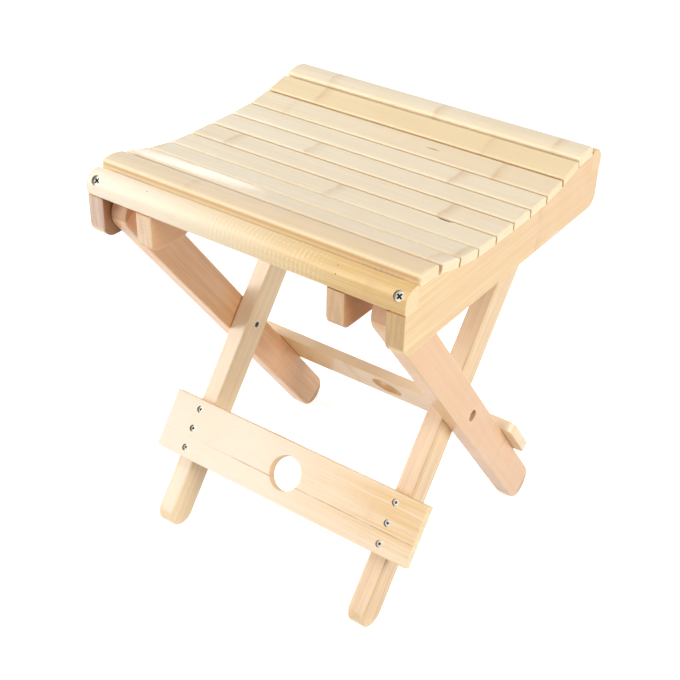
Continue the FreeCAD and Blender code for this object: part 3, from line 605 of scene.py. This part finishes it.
# The rear crossbar's tone is darker at its left end, painted shade, and pales towards its right.
REAR_BAR_SHADED_START = ((240, 198, 132), (254, 228, 194), (241, 208, 165))
REAR_BAR_EDGE = (238, 220, 198)
for side, seed in (("left", 12.4), ("right", 14.8)):
    bamboo("outer_leg_" + side, OUTER_RUN, OUTER[side], seed=seed, strip=0.04, node_at=-0.11,
           node_spacing=0.3, node_strength=0.3, streak_strength=0.65, side_strength=0.0, end_tone=LEG_END,
           end_strength=0.6, ends_from=OUTER_END_FROM)
    bamboo("inner_leg_" + side, INNER_RUN, INNER[side], seed=seed + 1.1, node_at=0.07, node_spacing=0.26,
           node_scatter=0.15, node_strength=0.3, streak_strength=0.6, fleck_strength=0.36, edge_width=0.0016,
           edge_tone=LEG_EDGES[side], edge_strength=0.5, side_strength=0.45, side_tone=LEG_SIDES[side],
           end_strength=0.2, ends_from=INNER_END_FROM)
bamboo("front_crossbar", ACROSS_SEAT, BAR, seed=17.2, seam_at=0.008, node_at=0.09, node_spacing=0.31,
       node_strength=0.08, streak_strength=0.6, plain_start=True, fleck_strength=0.2, seam_strength=0.7,
       side_strength=0.5, hole_radius=HAND_HOLE)
bamboo("rear_crossbar", ACROSS_SEAT, REAR_BAR_SHADED_START, seed=18.6, seam_at=0.008, node_at=-0.04, node_spacing=0.31,
       node_strength=0.3, seam_strength=0.4, edge_strength=0.1, side_strength=0.55,
       side_tone=REAR_BAR_EDGE, end_strength=0.2, hole_radius=HAND_HOLE)
bamboo("seat_rod", ACROSS_SEAT, BLOCKS["left"], seed=20.3, node_spacing=0.3, side_strength=0.0)
print("finished the legs and crossbars")

# %% [markdown]
# ## Steel
# Screws, bolts and nuts are zinc plated: bright, slightly warm grey metal with a fine uneven bloom. The
# pivot bolts' heads sit deep in their holes and are browned, partly with dirt and partly as painted shade of
# the holes, and their ends are darker steel. The screws' crosses are darkened partly by sawdust and old wax
# and partly as painted shade in their recesses, and a dark collar of painted shade lines each pocket.

# %% Steel finishes
BROWN_GRIME_AND_SHADE, DEEP_BROWN = (146, 108, 78), (110, 80, 56)


def plated(name, bright, dull, rough, metallic=1.0, browned_beyond=None):
    """Metal whose colour and gloss drift in a cloudy bloom, browned beyond a distance to either side."""
    material, tree, shader, place = new_finish(name)
    bloom = ramp(tree, add(tree, "TexNoise", Vector=place, Scale=700.0, Detail=3.0).outputs[0], 0.3, 0.7)
    colour = blend_colour(tree, bloom, linear_colour(*bright), linear_colour(*dull))
    if browned_beyond:
        out = calc(tree, "ABSOLUTE", add(tree, "SeparateXYZ", Vector=place).outputs[0])
        brown = blend_colour(tree, bloom, linear_colour(*BROWN_GRIME_AND_SHADE), linear_colour(*DEEP_BROWN))
        colour = blend_colour(tree, ramp(tree, out, browned_beyond, browned_beyond + 0.004), colour, brown)
    plug(tree, shader.inputs["Base Color"], colour)
    plug(tree, shader.inputs["Roughness"], ramp(tree, bloom, 0.0, 1.0, rough, rough + 0.14))
    shader.inputs["Metallic"].default_value = metallic
    return material


screw_zinc = plated("screw_zinc", (220, 216, 206), (190, 186, 176), 0.26)
apron_zinc = plated("apron_zinc", (186, 182, 170), (156, 152, 142), 0.3)
pivot_zinc = plated("pivot_zinc", (238, 234, 230), (210, 206, 202), 0.28)
# The bolts are browned at their heads, partly by dirt and partly as painted shade of their deep holes; the
# darker steel between shows at their ends.
bolt_zinc = plated("bolt_zinc", (100, 96, 90), (56, 52, 48), 0.4, browned_beyond=0.125)
recess_grime_and_shade = plated("recess_grime_and_shade", (58, 50, 40), (30, 26, 22), 0.6, metallic=0.0)
for name, node in nodes.items():
    if "hinge_screw" in name or "sleeve_nut" in name:
        dress(node, pivot_zinc)
    if "pivot_bolt" in name:
        dress(node, bolt_zinc)
    if name.endswith("_screws"):
        dress(node, screw_zinc)
print("plated the pivots")

# %% [markdown]
# ## Cross-head screws
# The CAD screws are plain, so turned ones take their places. A screw is one grid of rings round its axis:
# out over the head, down the cone and along the thread to the tip. Two crossing bars are pressed into the
# head, with leaning walls and a floor that rises towards their tips. The thread is a ridge whose place moves
# on by one pitch with each turn. A thin dark collar lines the pocket above the head: painted shade on the
# pocket's wall.

# %% Screw surfaces
STEPS_ROUND = 72
ROUND = np.linspace(0.0, math.tau, STEPS_ROUND, endpoint=False)
HEAD_FIT, RIM_SHARE, ROOT_SHARE, TIP_SHARE = 0.94, 0.06, 0.78, 0.15
CROSS_DEPTH, CROSS_WALL = 0.34, 0.05
HEAD_RINGS, CONE_RINGS, THREAD_RINGS = 36, 5, 72
PITCH_SHARE, BLUNT_TIP = 0.9, 0.02
COLLAR_OUTER, COLLAR_INNER, COLLAR_BELOW_FACE = 4e-5, 1e-5, 0.0007
SCREW_SINK = 0.002
SHARP_FROM = math.radians(35)


def ring_faces(rings, closed=False):
    """Quads between neighbouring rings of points, turned so that they face away from a screw's axis."""
    starts = np.arange(rings if closed else rings - 1)
    ring, step = np.meshgrid(starts, np.arange(STEPS_ROUND), indexing="ij")
    near, far = ring * STEPS_ROUND, (ring + 1) % rings * STEPS_ROUND
    after = (step + 1) % STEPS_ROUND
    return np.stack((near + step, near + after, far + after, far + step), -1).reshape(-1, 4)


def cross_inside(x, y, arm, width):
    """How far a point lies inside the outline of a cross with arms along X and Y; negative outside."""
    far, near = np.maximum(np.abs(x), np.abs(y)), np.minimum(np.abs(x), np.abs(y))
    return np.minimum(arm - far, width - near)


def turned_screw(head, shank, length, arm, width, turn):
    """A screw along +Z whose head's rim is at zero: points, quads, triangles and which of both are cross.

    Each ring has a radius r and a depth z, and its points are (r cos a, r sin a, z). On the head z is the
    depth of the cross, which falls with the distance from its middle. On the thread r is the root's radius
    plus a ridge that peaks where z / pitch - a / turn is whole, and near the tip both shrink to nothing.
    A fan of triangles closes the head's middle and another one the tip.
    """
    rim = head * HEAD_FIT
    over_head = np.linspace(0.01, 1.0, HEAD_RINGS) * rim
    down_cone = np.linspace(rim, shank, CONE_RINGS)
    along = np.linspace(head - shank, length, THREAD_RINGS)[1:]
    radius = np.concatenate((over_head, down_cone, np.full(len(along), shank)))[:, None]
    cone_depth = np.linspace(RIM_SHARE * head, head - shank, CONE_RINGS)
    depth = np.concatenate((np.zeros(HEAD_RINGS), cone_depth, along))[:, None]
    pitch = PITCH_SHARE * shank
    ridge = 1 - np.abs(2 * ((depth / pitch - ROUND / math.tau) % 1.0) - 1)
    threaded = depth > head - shank
    taper = np.clip((length - depth) / (TIP_SHARE * length), BLUNT_TIP, 1.0)
    radius = np.where(threaded, radius * (ROOT_SHARE + (1 - ROOT_SHARE) * ridge) * taper, radius)
    x, y = radius * np.cos(ROUND), radius * np.sin(ROUND)
    cosine, sine = math.cos(turn), math.sin(turn)
    inside = cross_inside(cosine * x + sine * y, cosine * y - sine * x, arm * rim, width * rim)
    inside = np.where(np.arange(len(radius))[:, None] < HEAD_RINGS, inside, -1.0)
    slope = np.clip(inside / (CROSS_WALL * rim), 0.0, 1.0)
    z = depth + slope * CROSS_DEPTH * rim * (1 - 0.5 * radius / (arm * rim))
    quads = ring_faces(len(radius))
    grid = np.stack((x, y, z + 0 * x), -1).reshape(-1, 3)
    points = np.concatenate((grid, ((0.0, 0.0, z[0].mean()), (0.0, 0.0, length))))
    step = np.arange(STEPS_ROUND)
    after, last = (step + 1) % STEPS_ROUND, len(grid) - STEPS_ROUND
    middle, tip = np.full((2, STEPS_ROUND), ((len(grid),), (len(grid) + 1,)))
    head_fan = np.stack((middle, after, step), -1)
    tip_fan = np.stack((tip, last + step, last + after), -1)
    cross = inside.reshape(-1)[quads].max(1) > 0
    return points, quads, np.concatenate((head_fan, tip_fan)), cross


def shade_collar(head, bulge):
    """Points and quads of a thin dark ring of painted shade inside the pocket's wall: a flat box section
    carried round the axis.

    Its upper end lies just under the board's face, which a bulge (one over its radius) drops by
    bulge * y * y / 2 at a distance y from the middle.
    """
    radius = (head + np.repeat((COLLAR_OUTER, COLLAR_INNER), 2))[:, None]
    x, y = radius * np.cos(ROUND), radius * np.sin(ROUND)
    upper = COLLAR_BELOW_FACE - SCREW_SINK + bulge * y * y / 2
    z = np.where(np.array((True, False, False, True))[:, None], upper, 0.0)
    return np.stack((x, y, z), -1).reshape(-1, 3), ring_faces(4, closed=True)


def screw_row(name, node, body, finish, sizes, spots, bulge=0.0):
    """One mesh of screws at the spots (point on the face, axis into the wood, turn of the cross)."""
    points, quads, fans, dark, count = [], [], [], [], 0
    for point, axis, turn in spots:
        screw, screw_quads, screw_fans, cross = turned_screw(*sizes, turn)
        collar, collar_quads = shade_collar(sizes[0], bulge)
        frame_axes = np.array((ACROSS_SEAT, np.cross(axis, ACROSS_SEAT), axis))
        sunk = np.array(point) + SCREW_SINK * np.array(axis)
        points += [screw @ frame_axes + sunk, collar @ frame_axes + sunk]
        quads += [screw_quads + count, collar_quads + count + len(screw)]
        fans.append(screw_fans + count)
        # The crosses take the dark finish as grime and painted shade, the collars as painted shade alone.
        dark += [cross, np.ones(len(collar_quads), bool)]
        count += len(screw) + len(collar)
    head_first = np.repeat((True, False), STEPS_ROUND)
    dark.append(np.tile(head_first, len(spots)))
    faces = np.concatenate(quads).tolist() + np.concatenate(fans).tolist()
    mesh = bpy.data.meshes.new(name)
    mesh.from_pydata(np.concatenate(points).tolist(), [], faces)
    mesh.materials.append(finish)
    mesh.materials.append(recess_grime_and_shade)
    mesh.polygons.foreach_set("material_index", np.concatenate(dark).astype(np.int32))
    mesh.polygons.foreach_set("use_smooth", np.ones(len(mesh.polygons), bool))
    mesh.set_sharp_from_angle(angle=SHARP_FROM)
    piece = bpy.data.objects.new(name, mesh)
    bpy.context.scene.collection.objects.link(piece)
    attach(piece, body)
    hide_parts(node)
    print(name, "has", len(mesh.polygons), "faces")


print("screw surfaces ready, with", STEPS_ROUND, "steps round")

# %% [markdown]
# The apron's screws lean with its nose. The crossbars' screws stand in rows of three, square to bars that
# lean with their legs, so their places are worked out upright and then turned about the pivot.

# %% Screw places
APRON_SCREW, BAR_SCREW = (0.0042, 0.0020, 0.032, 0.64, 0.17), (0.0031, 0.0016, 0.026, 0.5, 0.17)
APRON_TILT, NOSE_BULGE = math.radians(36), 1 / 0.012
LEAN = math.atan2(-OUTER_RUN[1], OUTER_RUN[2])
BAR_ROWS = (-0.019, 0.0, 0.019)
APRON_SCREW_X, APRON_SCREW_Y, APRON_SCREW_Z = 0.14375, 0.150708, 0.360553
TURN_STEP = 0.6


def apron_spots(facing, turns):
    """The two apron screws; facing is 1 at the front and -1 at the rear."""
    axis = (0.0, facing * math.cos(APRON_TILT), -math.sin(APRON_TILT))
    sides = (-APRON_SCREW_X, APRON_SCREW_X)
    return [((x, -facing * APRON_SCREW_Y, APRON_SCREW_Z), axis, turn) for x, turn in zip(sides, turns)]


def bar_spots(x, face_y, middle_z, lean, facing, first_turn):
    """Six crossbar screws at the sides -x and x, leaned about the pivot."""
    cosine, sine = math.cos(lean), math.sin(lean)
    axis = (0.0, facing * cosine, facing * sine)
    spots = []
    for side in (-1, 1):
        for row in BAR_ROWS:
            upright = middle_z + row
            y = PIVOT[1] + cosine * face_y - sine * upright
            z = PIVOT[2] + sine * face_y + cosine * upright
            spots.append(((side * x, y, z), axis, first_turn + TURN_STEP * len(spots)))
    return spots


screw_row("front_apron_turned_screws", "front_apron_screws", "seat", apron_zinc, APRON_SCREW,
          apron_spots(1, (0.5, 0.5)), NOSE_BULGE)
screw_row("rear_apron_turned_screws", "rear_apron_screws", "seat", apron_zinc, APRON_SCREW,
          apron_spots(-1, (0.3, 0.9)), NOSE_BULGE)
screw_row("front_bar_turned_screws", "front_crossbar_screws", "inner_legs", screw_zinc, BAR_SCREW,
          bar_spots(0.10905, -0.025, -0.1115, -LEAN, 1, 0.4))
screw_row("rear_bar_turned_screws", "rear_crossbar_screws", "outer_legs", screw_zinc, BAR_SCREW,
          bar_spots(0.12665, 0.026, -0.104, LEAN, -1, 0.2))

# %% [markdown]
# ## Floor and light
# The stool stands on white paper, so the shades are warm and shallow. Lamps at the left, the right and the
# front left give the shape. Weaker ones in front, overhead and behind fill it in, and a low panel behind
# the left side shows as the bright glare on the second slat. To the camera the paper is white, but it still
# takes the stool's faint shadow.

# %% Floor and light
FLOOR_HALF = 2.2
WHITE, PAPER_GREY = (1.0, 1.0, 1.0, 1.0), (0.7, 0.7, 0.7, 1.0)
PAPER_ROUGHNESS, PAPER_GLOW = 0.9, 0.68
corners = np.array(((-1, -1, 0), (1, -1, 0), (1, 1, 0), (-1, 1, 0))) * FLOOR_HALF
paper = bpy.data.meshes.new("paper_floor")
paper.from_pydata(corners.tolist(), [], [(0, 1, 2, 3)])
floor = bpy.data.objects.new("paper_floor", paper)
bpy.context.scene.collection.objects.link(floor)


def seen_directly(tree):
    """1 for what the camera sees, also in a reflection or through glass, and 0 for the light it gives."""
    rays = add(tree, "LightPath").outputs
    mirrored = calc(tree, "MAXIMUM", rays["Is Glossy Ray"], rays["Is Transmission Ray"])
    return calc(tree, "MAXIMUM", rays["Is Camera Ray"], mirrored)


paper_finish, tree, shader, _ = new_finish("white_paper")
shader.inputs["Base Color"].default_value = PAPER_GREY
shader.inputs["Roughness"].default_value = PAPER_ROUGHNESS
shader.inputs["Emission Color"].default_value = WHITE
plug(tree, shader.inputs["Emission Strength"], calc(tree, "MULTIPLY", seen_directly(tree), PAPER_GLOW))
paper.materials.append(paper_finish)

world = bpy.data.worlds.new("studio")
bpy.context.scene.world = world
world.use_nodes = True
studio = world.node_tree
backdrop = studio.nodes["Background"]
backdrop.inputs["Color"].default_value = WHITE
plug(studio, backdrop.inputs["Strength"], seen_directly(studio))


def soft_lamp(name, place, target, size, power, shape="RECTANGLE"):
    """A flat lamp at a place, facing a target."""
    lamp = bpy.data.lights.new(name, "AREA")
    lamp.shape = shape
    lamp.size, lamp.size_y = size
    lamp.energy = power
    holder = bpy.data.objects.new(name, lamp)
    holder.location = place
    holder.rotation_euler = (Vector(target) - Vector(place)).to_track_quat("-Z", "Y").to_euler()
    holder.visible_camera = False
    bpy.context.scene.collection.objects.link(holder)


STOOL_MIDDLE = (0.0, 0.0, 0.25)
GLARE_PLACE, GLARE_SPOT = (-1.292, 1.498, 0.482), (-0.0864, -0.0935, 0.365)
soft_lamp("front_left_lamp", (-1.5, -1.9, 2.3), STOOL_MIDDLE, (1.6, 1.6), 16.5)
soft_lamp("low_left_lamp", (-2.2, -1.4, 0.8), STOOL_MIDDLE, (1.2, 0.8), 40.5)
soft_lamp("left_lamp", (-2.4, 0.2, 1.6), STOOL_MIDDLE, (1.4, 1.4), 27.0)
soft_lamp("top_lamp", (0.3, 0.3, 3.0), STOOL_MIDDLE, (1.2, 1.2), 10.0)
soft_lamp("right_lamp", (2.4, -0.3, 1.4), STOOL_MIDDLE, (1.4, 1.4), 43.0)
soft_lamp("high_right_lamp", (1.9, -0.6, 2.4), STOOL_MIDDLE, (1.4, 1.4), 19.5)
soft_lamp("front_lamp", (0.2, -2.6, 0.9), STOOL_MIDDLE, (1.2, 0.8), 7.5)
soft_lamp("back_lamp", (0.3, 2.6, 0.6), STOOL_MIDDLE, (1.2, 0.6), 12.0)
soft_lamp("glare_panel", GLARE_PLACE, GLARE_SPOT, (0.34, 0.012), 0.1, "ELLIPSE")
bpy.context.scene.view_settings.view_transform = "Standard"
print("lit the studio")
